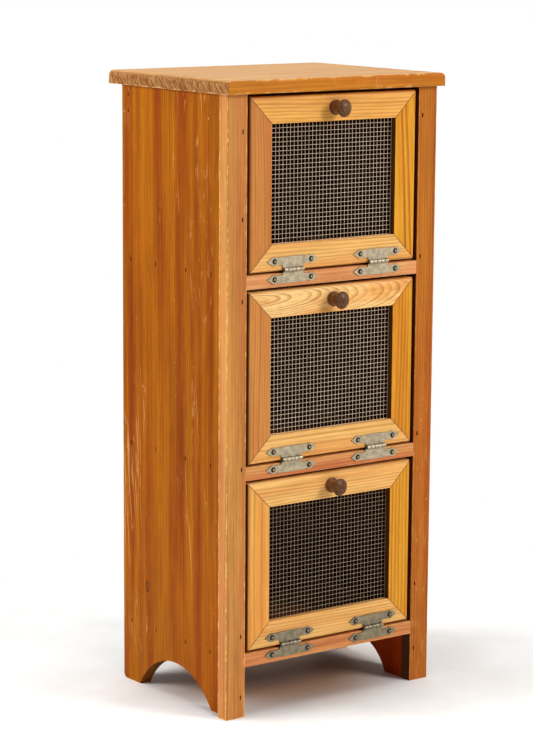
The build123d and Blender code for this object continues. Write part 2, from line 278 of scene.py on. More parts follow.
SIDE = WoodFinish(
    early=srgb(158, 90, 10), late=srgb(98, 42, 2), flush=srgb(132, 58, 5), worn=srgb(204, 146, 84),
    ring_mm=5.0, waviness_mm=3.0, fibre=0.3, patina=0.45, wear=0.4, scuffs=0.8,
    rubbed_spot=(-0.18, 0.11, 0.31), gloss=0.03)
# Painted shade on the right side panel's faces that look left: its inner face and the leg's.
SIDE_RIGHT = replace(SIDE, shade=0.97)
STILE = WoodFinish(
    early=srgb(196, 134, 62), late=srgb(148, 86, 32), flush=srgb(187, 112, 50),
    worn=srgb(236, 186, 108), ring_mm=4.6, patina=0.3, wear=0.5, wear_mm=2.0, scuffs=0.25)
# Its shade is painted shade on the right stile's face that looks left, into the doorway.
STILE_DARK = WoodFinish(
    early=srgb(178, 104, 30), late=srgb(116, 54, 12), flush=srgb(166, 84, 24),
    worn=srgb(220, 164, 94), ring_mm=4.4, contrast=0.7, fibre=0.28, patina=0.38, wear=0.4,
    scuffs=0.35, shade=0.9, gloss=0.1)
RAIL = WoodFinish(
    early=srgb(210, 150, 86), late=srgb(142, 78, 36), flush=srgb(193, 110, 59),
    worn=srgb(232, 184, 128), ring_mm=4.0, fibre=0.28, patina=0.24, scuffs=0.3)
RAIL_PALE = replace(RAIL, early=srgb(224, 170, 108), flush=srgb(206, 130, 76))
# The door finishes' shade is painted shade on the members' faces that look left, in the gaps and
# round the wire cloth.
DOOR = WoodFinish(
    early=srgb(228, 177, 101), late=srgb(182, 116, 50), flush=srgb(220, 154, 80),
    worn=srgb(246, 212, 152), ring_mm=4.4, contrast=0.7, shade=0.9)
DOOR_ARCHED = replace(
    DOOR, early=srgb(240, 196, 126), ring_mm=2.6, waviness_mm=3.0, late=srgb(164, 96, 40))
DOOR_AMBER = replace(
    DOOR, early=srgb(224, 163, 76), late=srgb(178, 106, 36), flush=srgb(214, 138, 56))
DOOR_BROWN = WoodFinish(
    early=srgb(196, 129, 60), late=srgb(146, 80, 30), flush=srgb(187, 111, 47),
    worn=srgb(234, 184, 118), ring_mm=4.0, contrast=0.65, wear=0.4, shade=0.85)
DOOR_GOLD = WoodFinish(
    early=srgb(214, 149, 38), late=srgb(162, 90, 14), flush=srgb(206, 130, 30),
    worn=srgb(238, 188, 104), ring_mm=5.0, contrast=0.75, shade=0.9, gloss=0.12)
DOOR_STREAKED = replace(DOOR_GOLD, ring_mm=8.0, contrast=0.85, late=srgb(140, 74, 12))
# The top's upward face is paled, partly sun bleaching and partly painted sheen.
TOP = WoodFinish(
    early=srgb(188, 116, 34), late=srgb(146, 80, 22), flush=srgb(180, 100, 28),
    worn=srgb(236, 194, 134), ring_mm=6.0, fibre=0.28, patina=0.24, wear=0.35,
    wear_mm=2.2, scuffs=0.3, bleach_and_sheen=0.75, bleach_and_sheen_colour=srgb(165, 132, 82), gloss=0.06)
INNER = WoodFinish(
    early=srgb(92, 54, 24), late=srgb(66, 36, 15), flush=srgb(90, 46, 18), worn=srgb(122, 78, 44),
    ring_mm=4.0, contrast=0.4, wear=0.05, roughness=0.7, gloss=0.03)
# Painted shade on the corner boards' faces that look left, from 8 cm up, inside the compartments.
CORNER = WoodFinish(
    early=srgb(168, 62, 6), late=srgb(122, 38, 2), flush=srgb(150, 46, 4), worn=srgb(150, 84, 44),
    ring_mm=4.0, contrast=0.45, wear=0.1, roughness=0.6, gloss=0.03, shade=0.98, shade_above=0.08)
# Painted shade on the back panel's face that looks to the front, inside the compartments.
BACK = WoodFinish(
    early=srgb(84, 54, 30), late=srgb(62, 38, 20), flush=srgb(84, 46, 24), worn=srgb(140, 104, 70),
    ring_mm=7.0, contrast=0.4, wear=0.1, roughness=0.7, gloss=0.03, shade=0.98,
    shade_way=(0.0, -1.0, 0.0))
WALNUT = WoodFinish(
    early=srgb(134, 84, 40), late=srgb(82, 44, 16), flush=srgb(126, 66, 28),
    worn=srgb(160, 120, 88), ring_mm=2.4, contrast=0.45, waviness_mm=2.0, fibre=0.3, wear=0.0,
    roughness=0.3, gloss=0.13)

# The leaves' rim is dirt and painted shade on their edges and knuckles.
PEWTER = MetalFinish(
    base=srgb(184, 168, 138), stain=srgb(52, 42, 28), roughness=0.4, metallic=0.55, dimple_mm=1.8,
    dimple=0.8, rim=0.85)
PEWTER_DARK = replace(PEWTER, base=srgb(140, 128, 102), stain=srgb(40, 33, 22), metallic=0.6)
# The screws' rim is painted shade round their domed heads.
SCREW_METAL = MetalFinish(
    base=srgb(206, 174, 132), stain=srgb(96, 72, 50), roughness=0.45, metallic=0.5, dimple_mm=1.2,
    dimple=0.1, rim=1.0, rim_span=(0.86, 0.96))
WIRE_METAL = MetalFinish(
    base=srgb(244, 220, 190), stain=srgb(158, 132, 104), roughness=0.42, metallic=0.15,
    dimple_mm=0.8, dimple=0.15)
WIRE_DULL = replace(
    WIRE_METAL, base=srgb(176, 154, 126), stain=srgb(84, 66, 48), roughness=0.5, metallic=0.2)
NAIL_METAL = MetalFinish(
    base=srgb(14, 9, 6), stain=srgb(6, 4, 3), roughness=0.8, metallic=0.1, dimple_mm=0.8,
    dimple=0.1)
STEEL = MetalFinish(
    base=srgb(160, 160, 160), stain=srgb(110, 108, 104), roughness=0.38, metallic=0.9,
    dimple_mm=1.0, dimple=0.08)
CATCH_BROWN = MetalFinish(
    base=srgb(86, 58, 38), stain=srgb(60, 38, 24), roughness=0.5, metallic=0.0, dimple_mm=0.6,
    dimple=0.12)

KNOT_RADIUS_MM = 5.0
KNOT_BROWN = srgb(92, 44, 18)
MITRE_BROWN = srgb(84, 44, 22)
# Colour of painted shade on wood faces that get little light.
SHADE_BROWN = srgb(48, 13, 3)
# Dark of dirt and painted shade on metal faces that don't look to the front.
GRIME_AND_PAINTED_SHADE = srgb(14, 9, 6)
FLOOR_PALE = srgb(246, 246, 245)
FLOOR_GREY = srgb(236, 235, 232)
# Painted shadow: warm shade on the floor under the object.
PAINTED_WARM_SHADOW = srgb(178, 131, 93)

CARCASS_BOARDS = (
    Board("left_side_panel", Grain.Z,
          Member(SIDE, (70.0, 210.0), (0.25, 0.35), (-9.5, 58.0, -286.0))),
    Board("right_side_panel", Grain.Z, Member(SIDE_RIGHT, (-80.0, -230.0), (0.3, 0.3))),
    Board("left_stile", Grain.Z, Member(STILE, (90.0, 60.0), (0.3, 0.3))),
    Board("right_stile", Grain.Z, Member(STILE_DARK, (-120.0, 50.0), (0.4, 0.3))),
    Board("upper_rail", Grain.X, Member(RAIL_PALE, (60.0, 80.0), (0.5, 0.4))),
    Board("middle_rail", Grain.X, Member(RAIL, (90.0, 60.0), (0.4, 0.6))),
    Board("lower_rail", Grain.X, Member(RAIL, (50.0, 70.0), (0.6, 0.5))),
    Board("top_board", Grain.X, Member(TOP, (160.0, 90.0), (0.6, 0.3))),
    Board("left_corner_board", Grain.Z, Member(CORNER)),
    Board("right_corner_board", Grain.Z, Member(CORNER, (-80.0, 60.0))),
    Board("upper_shelf", Grain.X, Member(INNER)),
    Board("middle_shelf", Grain.X, Member(INNER, (90.0, 50.0))),
    Board("lower_shelf", Grain.X, Member(INNER, (70.0, 100.0))),
    Board("front_top_cleat", Grain.X, Member(INNER)),
    Board("rear_top_cleat", Grain.X, Member(INNER, (90.0, 60.0))),
    Board("back_panel", Grain.Z, Member(BACK, (200.0, 90.0))),
)
KNOB_CUT = Member(WALNUT, (8.0, 5.0), (3.0, 4.0))
DOOR_LOOKS = (
    DoorLook("upper", WIRE_METAL, PEWTER, (
        Member(DOOR, (40.0, 30.0), (0.8, 0.4)),
        Member(DOOR_STREAKED, (24.0, 16.0), (1.6, 3.6)),
        Member(DOOR_AMBER, (30.0, 30.0), (0.9, 0.5)),
        Member(DOOR_BROWN, (80.0, 70.0), (0.4, 1.6)))),
    DoorLook("middle", WIRE_METAL, PEWTER, (
        Member(DOOR, (50.0, 70.0), (0.5, 0.5)),
        Member(DOOR_GOLD, (30.0, 30.0), (1.4, 1.2)),
        Member(DOOR_ARCHED, (8.0, 32.0), (-9.0, 0.0)),
        Member(DOOR_BROWN, (70.0, 50.0), (0.6, 0.4)))),
    DoorLook("lower", WIRE_DULL, PEWTER_DARK, (
        Member(DOOR, (40.0, 20.0), (0.8, 0.6)),
        Member(DOOR_GOLD, (40.0, 30.0), (1.2, 0.7)),
        Member(DOOR, (30.0, 20.0), (1.6, 0.5)),
        Member(DOOR_AMBER, (60.0, 70.0), (0.5, 0.5)))),
)
LAMPS = (
    Lamp("key_light", (1.7, -2.9, 2.2), 1.3, 98.0),
    Lamp("side_light", (-2.7, 1.1, 1.7), 1.6, 86.0),
    Lamp("top_soft", (-0.1, 0.1, 2.9), 2.0, 54.0),
)


class Signal:
    """What a node gives. Arithmetic with it adds further nodes."""

    def __init__(self, graph: Graph, socket: bpy.types.NodeSocket) -> None:
        """Keeps the output and the Graph that it is in."""
        self.graph = graph
        self.socket = socket

    def into(self, operation: str, *others: Value) -> Signal:
        """Adds a maths node on this and the other values."""
        return self.graph.math(operation, self, *others)

    __add__ = partialmethod(into, "ADD")
    __sub__ = partialmethod(into, "SUBTRACT")
    __mul__ = partialmethod(into, "MULTIPLY")
    __truediv__ = partialmethod(into, "DIVIDE")
    times_plus = partialmethod(into, "MULTIPLY_ADD")
    lesser = partialmethod(into, "MINIMUM")
    greater = partialmethod(into, "MAXIMUM")

    def smooth(self, low: Value, high: Value, to_low: Value = 0.0,
               to_high: Value = 1.0) -> Signal:
        """Maps the range from low to high onto another, with soft ends."""
        inputs = dict(enumerate((self, low, high, to_low, to_high)))
        return self.graph.give("MapRange", inputs, interpolation_type="SMOOTHSTEP")


class Graph:
    """A small helper that adds nodes to a tree and joins them."""

    NUMBER_RESULTS = ("LENGTH", "DISTANCE", "DOT_PRODUCT")

    def __init__(self, tree: Tree) -> None:
        """Starts on one node tree."""
        self.tree = tree

    def node(self, kind: str, inputs: Inputs | None = None,
             **settings: object) -> bpy.types.Node:
        """Adds a node.

        Args:
            kind: The node's type, without its Shader prefix.
            inputs: What its inputs get, by their names or places.
            **settings: Properties to set on it.

        Returns:
            The new node.
        """
        made = self.tree.nodes.new("ShaderNode" + kind)
        for name, value in settings.items():
            setattr(made, name, value)
        self.feed(made, inputs or {})
        return made

    def feed(self, node: bpy.types.Node, inputs: Inputs) -> None:
        """Gives a node's inputs their values, or joins other nodes' outputs to them.

        Args:
            node: The node.
            inputs: What each of them gets, by its name or place.
        """
        for key, value in inputs.items():
            socket = node.inputs[key]
            if isinstance(value, Signal):
                self.tree.links.new(value.socket, socket)
            elif isinstance(value, tuple) and len(socket.default_value) > len(value):
                socket.default_value = (*value, 1.0)
            else:
                socket.default_value = value

    def outputs(self, kind: str, inputs: Inputs | None = None,
                **settings: object) -> dict[str, Signal]:
        """Adds a node, as node does, and gives its outputs by name."""
        made = self.node(kind, inputs, **settings)
        return {output.name: Signal(self, output) for output in made.outputs}

    def give(self, kind: str, inputs: Inputs, output: int | str = 0,
             **settings: object) -> Signal:
        """Adds a node, as node does, and gives one of its outputs."""
        return Signal(self, self.node(kind, inputs, **settings).outputs[output])

    def math(self, operation: str, *values: Value) -> Signal:
        """Adds a maths node, whose inputs past the values are 0."""
        return self.give("Math", dict(enumerate((*values, 0.0, 0.0)[:3])), operation=operation)

    def vector(self, operation: str, first: Value,
               second: Value = (0.0, 0.0, 0.0)) -> Signal:
        """Adds a vector maths node, and gives a number where the operation does."""
        output = 1 if operation in self.NUMBER_RESULTS else 0
        return self.give("VectorMath", {0: first, 1: second}, output, operation=operation)

    def stretch(self, place: Value, x: float, y: float, z: float) -> Signal:
        """Multiplies a place's X, Y and Z."""
        return self.vector("MULTIPLY", place, (x, y, z))

    def noise(self, place: Value, scale: float, detail: float = 2.0,
              roughness: float = 0.5) -> Signal:
        """Adds noise, about 0.5 on average, that changes scale times in a metre."""
        return self.give("TexNoise", {"Vector": place, "Scale": scale, "Detail": detail,
                                      "Roughness": roughness}, "Fac")

    def streaks(self, place: Value, across: float, along: float, detail: float = 2.0,
                roughness: float = 0.5) -> Signal:
        """Adds noise with its own number of changes in a metre across Z and along it."""
        return self.noise(self.stretch(place, across, across, along), 1.0, detail, roughness)

    def blend(self, share: Value, first: Value, second: Value, mode: str = "MIX") -> Signal:
        """Adds a mix of two colours with a share, from 0 to 1, of the second."""
        return self.give("Mix", {0: share, 6: first, 7: second}, 2, data_type="RGBA",
                         blend_type=mode)

    def layer(self, below: Value, above: Value, mask: Signal, strength: Value) -> Signal:
        """Lays a colour over another where a mask shows."""
        return self.blend(mask * strength, below, above)

    def group(self, tree: Tree, **values: Value) -> dict[str, Signal]:
        """Adds a node group, with underscores for spaces in the names of its inputs."""
        inputs = {name.replace("_", " "): value for name, value in values.items()}
        return self.outputs("Group", inputs, node_tree=tree)

    def shows_backdrop(self) -> Signal:
        """Tells the rays that show the backdrop, directly or in metal or glass.

        Returns:
            1 for such a ray and 0 for any other.
        """
        rays = self.outputs("LightPath")
        seen = rays["Is Camera Ray"].greater(rays["Is Glossy Ray"])
        return seen.greater(rays["Is Transmission Ray"])


class GroupGraph(Graph):
    """A Graph on a new shader node group."""

    NUMBERS = ("Spacing", "Waviness", "Knot Size", "From", "To", "Width", "Size")

    def __init__(self, name: str, inputs: tuple[str, ...],
                 outputs: tuple[str, ...] = ("Mask",)) -> None:
        """Makes the group with its sockets.

        Args:
            name: The group's name.
            inputs: The names of its inputs, vectors but for those in NUMBERS.
            outputs: The names of its outputs, which are all numbers.
        """
        super().__init__(bpy.data.node_groups.new(name, "ShaderNodeTree"))
        for way, sockets in (("INPUT", inputs), ("OUTPUT", outputs)):
            for label in sockets:
                number = way == "OUTPUT" or label in self.NUMBERS
                kind = "NodeSocketFloat" if number else "NodeSocketVector"
                self.tree.interface.new_socket(label, in_out=way, socket_type=kind)
        self.start = self.tree.nodes.new("NodeGroupInput")
        self.end = self.tree.nodes.new("NodeGroupOutput")

    def __getitem__(self, name: str) -> Signal:
        """What the group gets by one of its inputs."""
        return Signal(self, self.start.outputs[name])

    def finish(self, *results: Signal) -> Tree:
        """Joins the results to the group's outputs, and gives its tree."""
        self.feed(self.end, dict(enumerate(results)))
        return self.tree

    def inside(self) -> tuple[Signal, Signal, Signal]:
        """How far Position is inside each pair of faces of the box at Centre of size Half.

        Returns:
            The distances along X, Y and Z.
        """
        offset = self.vector("SUBTRACT", self["Position"], self["Centre"])
        inside = self.vector("SUBTRACT", self["Half"], self.vector("ABSOLUTE", offset))
        return tuple(self.outputs("SeparateXYZ", {0: inside}).values())


class Effects:
    """The shader node groups that the materials share, each built at its first use."""

    KNOT_STRETCH = (1.0, 1.0, 0.55)
    SAW_ANGLE = 0.62
    SCRATCH_ANGLE = 0.09

    @cached_property
    def rings(self) -> Tree:
        """Growth rings of a log along Z, cut by the board, with a knot where its size isn't 0.

        Returns:
            The group, with the share of late wood and a mask of the knot's dark ring.
        """
        graph = GroupGraph("GrowthRings", ("Vector", "Spacing", "Waviness", "Knot", "Knot Size"),
                           ("Late Wood", "Knot Mask"))
        place, knot_size = graph["Vector"], graph["Knot Size"]
        slow = graph.streaks(place, across=7.0, along=1.6) - 0.5
        fine = graph.streaks(place, across=60.0, along=5.0) - 0.5
        radius = graph.vector("LENGTH", graph.stretch(place, 1.0, 1.0, 0.0))
        wander = slow * graph["Waviness"] * 6.0
        ripple = fine * (1.2 * MM)
        gap = graph.vector("DISTANCE", graph.stretch(place, *self.KNOT_STRETCH),
                           graph.stretch(graph["Knot"], *self.KNOT_STRETCH))
        near = gap / (knot_size + 1e-5)
        pull = (near * -0.9).into("EXPONENT") * knot_size * 3.0
        count = (radius + wander + ripple + pull) / graph["Spacing"]
        phase = count.into("FRACT")
        grow = phase.smooth(0.25, 0.9)
        stop = phase.smooth(0.93, 1.0, 1.0, 0.0)
        year = graph.give("TexWhiteNoise", {"W": count.into("FLOOR")}, noise_dimensions="1D")
        late = grow * stop * year.times_plus(0.85, 0.15)
        return graph.finish(late, near.smooth(0.3, 0.8, 0.35, 1.0)
                            * near.smooth(0.85, 1.15, 1.0, 0.0))

    @cached_property
    def fibres(self) -> Tree:
        """Fine streaks along Z.

        Returns:
            The group, with a streak from about -1 to 1.
        """
        graph = GroupGraph("Fibres", ("Vector",), ("Streak",))
        fine = graph.streaks(graph["Vector"], across=900.0, along=26.0, roughness=0.6)
        broad = graph.streaks(graph["Vector"], across=260.0, along=6.0, detail=3.0, roughness=0.6)
        return graph.finish((fine + broad * 1.4 - 1.2) * 2.0)

    @cached_property
    def patina(self) -> Tree:
        """Slow changes over a board.

        Returns:
            The group, with a tone from about -1 to 1 and a mask of where it turns redder.
        """
        graph = GroupGraph("Patina", ("Vector",), ("Tone", "Flush"))
        place = graph["Vector"]
        slow = graph.streaks(place, across=16.0, along=2.0) - 0.5
        spots = graph.streaks(place, across=90.0, along=26.0, detail=4.0, roughness=0.65) - 0.5
        bands = graph.streaks(place, across=34.0, along=1.3, detail=3.0, roughness=0.55)
        return graph.finish((slow + spots * 0.5) * 2.4, bands.smooth(0.38, 0.66))

    @cached_property
    def end_grain(self) -> Tree:
        """Where a face cuts across the grain, and the slanted marks of the saw there.

        Returns:
            The group, with a mask of such faces and one of the marks.
        """
        graph = GroupGraph("EndGrain", ("Normal", "Position", "Axis"), ("Mask", "Saw"))
        along = graph.vector("DOT_PRODUCT", graph["Normal"], graph["Axis"])
        facing = along.into("ABSOLUTE").smooth(0.45, 0.8)
        turned = graph.give("VectorRotate", {"Vector": graph["Position"], "Axis": graph["Axis"],
                                             "Angle": self.SAW_ANGLE}, rotation_type="AXIS_ANGLE")
        lines = graph.streaks(turned, across=700.0, along=70.0)
        return graph.finish(facing, facing * lines.smooth(0.42, 0.66))

    @cached_property
    def facing(self) -> Tree:
        """Where a surface looks along a direction of its own piece.

        Returns:
            The group, with a mask of such faces.
        """
        graph = GroupGraph("Facing", ("Normal", "Direction", "From", "To"))
        along = graph.vector("DOT_PRODUCT", graph["Normal"], graph["Direction"])
        return graph.finish(along.smooth(graph["From"], graph["To"]))

    @cached_property
    def up_face(self) -> Tree:
        """Where a face looks up, with an uneven border.

        Returns:
            The group, with a mask of such faces.
        """
        graph = GroupGraph("UpFace", ("Normal", "Position"))
        up = graph.vector("DOT_PRODUCT", graph["Normal"], (0.0, 0.0, 1.0))
        cloud = graph.noise(graph["Position"], 22.0, detail=4.0, roughness=0.6) - 0.5
        return graph.finish(cloud.times_plus(0.25, up).smooth(0.5, 0.95))

    @cached_property
    def edge_wear(self) -> Tree:
        """Where a box-shaped board's edges are rubbed.

        Returns:
            The group, with a mask of the rubbed edges.
        """
        graph = GroupGraph("EdgeWear", ("Position", "Centre", "Half", "Width"))
        x, y, z = graph.inside()
        second = x + y + z - x.lesser(y).lesser(z) - x.greater(y).greater(z)
        rough = graph.noise(graph["Position"], 55.0, detail=5.0, roughness=0.7)
        reach = rough.smooth(0.44, 0.68) * graph["Width"] * 1.6 + 0.1 * MM
        return graph.finish((second / reach).smooth(0.4, 1.1, 1.0, 0.0))

    @cached_property
    def mitre(self) -> Tree:
        """The thin dark line of the mitres of a frame in the XZ plane.

        Returns:
            The group, with a mask of the line.
        """
        graph = GroupGraph("MitreLine", ("Position", "Centre", "Half"))
        x, _, z = graph.inside()
        return graph.finish((x - z).into("ABSOLUTE").smooth(0.4 * MM, 1.1 * MM, 1.0, 0.0))

    @cached_property
    def scuffs(self) -> Tree:
        """Pale upright rubs, smears and small nicks, thicker in some places than in others.

        Returns:
            The group, with a mask of them all.
        """
        graph = GroupGraph("Scuffs", ("Position", "Spot"))
        place = graph["Position"]
        turned = graph.give("VectorRotate", {"Vector": place, "Angle": self.SCRATCH_ANGLE},
                            rotation_type="X_AXIS")
        line = graph.streaks(turned, across=380.0, along=9.0, detail=1.0)
        where = graph.streaks(place, across=9.0, along=3.4)
        rub = graph.streaks(place, across=90.0, along=22.0, detail=5.0, roughness=0.75)
        nick = graph.outputs("TexVoronoi", {"Vector": graph.stretch(place, 1.0, 1.0, 0.6),
                                            "Scale": 62.0}, feature="F1")
        dots = nick["Distance"].smooth(0.06, 0.1, 1.0, 0.0)
        dots = dots * nick["Color"].into("GREATER_THAN", 0.62)
        gap = graph.stretch(graph.vector("SUBTRACT", place, graph["Spot"]), 0.5, 1.0, 0.22)
        spot = graph.vector("LENGTH", gap).smooth(0.012, 0.045, 1.0, 0.0)
        busy = where.smooth(0.5, 0.64).greater(spot)
        scratch = spot.times_plus(0.08, line).smooth(0.67, 0.76) * busy
        patch = rub.smooth(0.56, 0.74) * busy
        return graph.finish(scratch.greater(patch).greater(dots * busy.times_plus(0.7, 0.3)))

    @cached_property
    def dimples(self) -> Tree:
        """A beaten or cast surface.

        Returns:
            The group, with the surface's height and a mask of where stain has settled.
        """
        graph = GroupGraph("Dimples", ("Position", "Size"), ("Height", "Stain"))
        place = graph.vector("DIVIDE", graph["Position"], graph["Size"])
        cell = graph.give("TexVoronoi", {"Vector": place, "Scale": 1.0}, "Distance",
                          feature="SMOOTH_F1")
        grit = graph.noise(place, 2.6, detail=4.0, roughness=0.7)
        cloud = graph.noise(place, 0.22, detail=3.0, roughness=0.6)
        return graph.finish(cell + grit * 0.5, cloud.smooth(0.3, 0.7) * grit.smooth(0.3, 0.75))


class Materials:
    """Makes the procedural materials."""

    TONE_POWERS = (0.75, 1.0, 1.25)
    DARKEST_TONE = 0.05
    BLEACH_AND_SHEEN_LATE = 0.8
    END_GRAIN_TONE = 0.34
    END_GRAIN_SHARE = 0.75
    SAW_SHARE = 0.3
    MITRE_SHARE = 0.85
    FACING = {"From": 0.55, "To": 0.9}
    SHADE_FADE = 0.01
    VARNISH_CHANGE = 0.06
    STAIN_CHANGE = 0.25
    WOOD_BUMP = 0.18
    WOOD_DEPTH = 0.3 * MM
    METAL_DEPTH = 0.4 * MM

    def __init__(self, effects: Effects) -> None:
        """Keeps the shared effects."""
        self.effects = effects

    @staticmethod
    def _start(name: str) -> tuple[Material, Graph, bpy.types.Node]:
        """Makes a new material.

        Args:
            name: Its name.

        Returns:
            The material, a Graph on its nodes and its main shader.
        """
        material = bpy.data.materials.new(name)
        material.use_nodes = True
        shader = material.node_tree.nodes["Principled BSDF"]
        return material, Graph(material.node_tree), shader

    @staticmethod
    def _bump(graph: Graph, height: Value, strength: float, distance: float) -> Signal:
        """Adds a bumpy normal."""
        return graph.give("Bump", {"Strength": strength, "Distance": distance, "Height": height})

    def wood(self, board: Board, box: Box, frame: Box | None = None) -> Material:
        """Varnished wood for one board.

        Args:
            board: The board.
            box: The middle and half size of its box.
            frame: The middle and half size of the mitred frame that it belongs to, if any.

        Returns:
            The material.
        """
        finish, effects = board.cut.finish, self.effects
        material, graph, shader = self._start("wood_" + board.node)
        spots = graph.outputs("TexCoord")
        position, normal = spots["Object"], spots["Normal"]
        log, knot = self._log(graph, board, graph.vector("SUBTRACT", position, box[0]))
        rings = graph.group(effects.rings, Vector=log, Spacing=finish.ring_mm * MM,
                            Waviness=finish.waviness_mm * MM, Knot=knot,
                            Knot_Size=KNOT_RADIUS_MM * MM if board.cut.knot_mm else 0.0)
        streak = graph.group(effects.fibres, Vector=log)["Streak"]
        patina = graph.group(effects.patina, Vector=log)
        late = rings["Late Wood"] * finish.contrast
        colour = graph.blend(patina["Flush"], finish.early, finish.flush)
        colour = graph.blend(late, colour, finish.late)
        # Sun bleaching and painted sheen: faces that look up are paled.
        if finish.bleach_and_sheen:
            up = graph.group(effects.up_face, Normal=normal, Position=position)["Mask"]
            pale = graph.blend(late * self.BLEACH_AND_SHEEN_LATE, finish.bleach_and_sheen_colour, finish.late)
            colour = graph.layer(colour, pale, up, finish.bleach_and_sheen)
        tone = streak * finish.fibre + patina["Tone"] * finish.patina
        colour = graph.blend(1.0, colour, self._grey(graph, tone), "MULTIPLY")
        cut = graph.group(effects.end_grain, Normal=normal, Position=position,
                          Axis=board.grain.axis)
        dark = tuple(self.END_GRAIN_TONE * part for part in finish.late)
        colour = graph.layer(colour, dark, cut["Mask"], self.END_GRAIN_SHARE)
        colour = graph.layer(colour, finish.worn, cut["Saw"], self.SAW_SHARE)
        if board.cut.knot_mm:
            colour = graph.blend(rings["Knot Mask"], colour, KNOT_BROWN)
        if finish.scuffs:
            rubs = graph.group(effects.scuffs, Position=position, Spot=finish.rubbed_spot)
            colour = graph.layer(colour, finish.worn, rubs["Mask"], finish.scuffs)
        wear = graph.group(effects.edge_wear, Position=position, Centre=box[0],
                           Half=box[1], Width=finish.wear_mm * MM)
        colour = graph.layer(colour, finish.worn, wear["Mask"], finish.wear)
        if frame:
            line = graph.group(effects.mitre, Position=position, Centre=frame[0],
                               Half=frame[1])
            colour = graph.layer(colour, MITRE_BROWN, line["Mask"], self.MITRE_SHARE)
        # Painted shade: faces that look along shade_way, from shade_above up, are darkened towards
        # SHADE_BROWN.
        if finish.shade:
            painted_shade_faces = graph.group(effects.facing, Normal=normal, Direction=finish.shade_way,
                                 **self.FACING)
            high = graph.outputs("SeparateXYZ", {0: position})["Z"].smooth(
                finish.shade_above, finish.shade_above + self.SHADE_FADE, 0.0, finish.shade)
            colour = graph.layer(colour, SHADE_BROWN, painted_shade_faces["Mask"], high)
        rough = patina["Tone"].times_plus(self.VARNISH_CHANGE, finish.roughness)
        bump = self._bump(graph, streak - late, self.WOOD_BUMP, self.WOOD_DEPTH)
        graph.feed(shader, {"Base Color": colour, "Roughness": rough, "Normal": bump,
                            "Specular IOR Level": finish.gloss})
        return material

    def _grey(self, graph: Graph, tone: Signal) -> Signal:
        """What a board's colour is multiplied by, darker in blue than in red where it is dark.

        Args:
            graph: The material's Graph.
            tone: The change of tone, 0 where there is none.

        Returns:
            The colour.
        """
        bright = (tone + 1.0).greater(self.DARKEST_TONE)
        powers = (bright.into("POWER", power) for power in self.TONE_POWERS)
        return graph.give("CombineColor", dict(enumerate(powers)))

    @staticmethod
    def _log(graph: Graph, board: Board, place: Signal) -> tuple[Signal, Vector]:
        """Maps a board into the log that it was cut from.

        Args:
            graph: The material's Graph.
            board: The board.
            place: The place on the board, from its centre.

        Returns:
            The place in the log, and where the board's knot is there.
        """
        cut = board.cut
        tilt = tuple(math.radians(angle) for angle in (*cut.tilt, 0.0))
        moved = (cut.pith_mm[0] * MM, cut.pith_mm[1] * MM,
                 random.Random(board.node).uniform(0.0, 4.0))
        upright = graph.give("Mapping", {"Vector": place, "Rotation": board.grain.turn})
        log = graph.give("Mapping", {"Vector": upright, "Rotation": tilt, "Location": moved})
        knot = Vector(cut.knot_mm or (0.0, 0.0, 0.0)) * MM
        turn = Euler(tilt).to_matrix() @ Euler(board.grain.turn).to_matrix()
        return log, turn @ knot + Vector(moved)

    def metal(self, name: str, finish: MetalFinish) -> Material:
        """Worn metal, or with no metallic share a moulded surface.

        Args:
            name: The material's name.
            finish: Its finish.

        Returns:
            The material.
        """
        material, graph, shader = self._start(name)
        spots = graph.outputs("TexCoord")
        dimples = graph.group(self.effects.dimples, Position=spots["Object"],
                              Size=finish.dimple_mm * MM)
        stain = dimples["Stain"]
        colour = graph.blend(stain, finish.base, finish.stain)
        # Dirt and painted shade: faces that don't look to the front are darkened; on the screw
        # heads it is painted shade round the dome.
        if finish.rim:
            front = graph.group(self.effects.facing, Normal=spots["Normal"],
                                Direction=(0.0, -1.0, 0.0), From=finish.rim_span[0],
                                To=finish.rim_span[1])
            away = graph.math("SUBTRACT", 1.0, front["Mask"])
            colour = graph.layer(colour, GRIME_AND_PAINTED_SHADE, away, finish.rim)
        rough = stain.times_plus(self.STAIN_CHANGE, finish.roughness)
        bump = self._bump(graph, dimples["Height"], finish.dimple, self.METAL_DEPTH)
        graph.feed(shader, {"Base Color": colour, "Roughness": rough, "Normal": bump,
                            "Metallic": finish.metallic})
        return material

    def floor(self, fade_start: float, fade_end: float) -> Material:
        """A pale floor that fades to plain white away from the object.

        Args:
            fade_start: How far from the origin the fade begins.
            fade_end: Where it is all white.

        Returns:
            The material.
        """
        material, graph, shader = self._start("pale_floor")
        position = graph.outputs("TexCoord")["Object"]
        marble = graph.noise(position, 5.0, detail=5.0, roughness=0.6)
        colour = graph.blend(marble.smooth(0.35, 0.7), FLOOR_PALE, FLOOR_GREY)
        # Painted shadow: near the object the floor turns warm brown, for the shade under it and
        # the light bounced off the wood.
        under = graph.vector("LENGTH", graph.stretch(position, 1.0, 1.3, 1.0))
        colour = graph.blend(under.smooth(0.08, 0.24, 0.9, 0.0), colour, PAINTED_WARM_SHADOW)
        graph.feed(shader, {"Base Color": colour, "Roughness": 0.6, "Specular IOR Level": 0.15})
        away = graph.vector("LENGTH", position).smooth(fade_start, fade_end)
        mixed = graph.give("MixShader", {0: away * graph.shows_backdrop(),
                                         1: Signal(graph, shader.outputs[0]),
                                         2: graph.give("Emission", {"Strength": 1.0})})
        graph.feed(material.node_tree.nodes["Material Output"], {"Surface": mixed})
        return material


def paint(obj: Object, material: Material) -> None:
    """Gives an object one material."""
    obj.data.materials.clear()
    obj.data.materials.append(material)


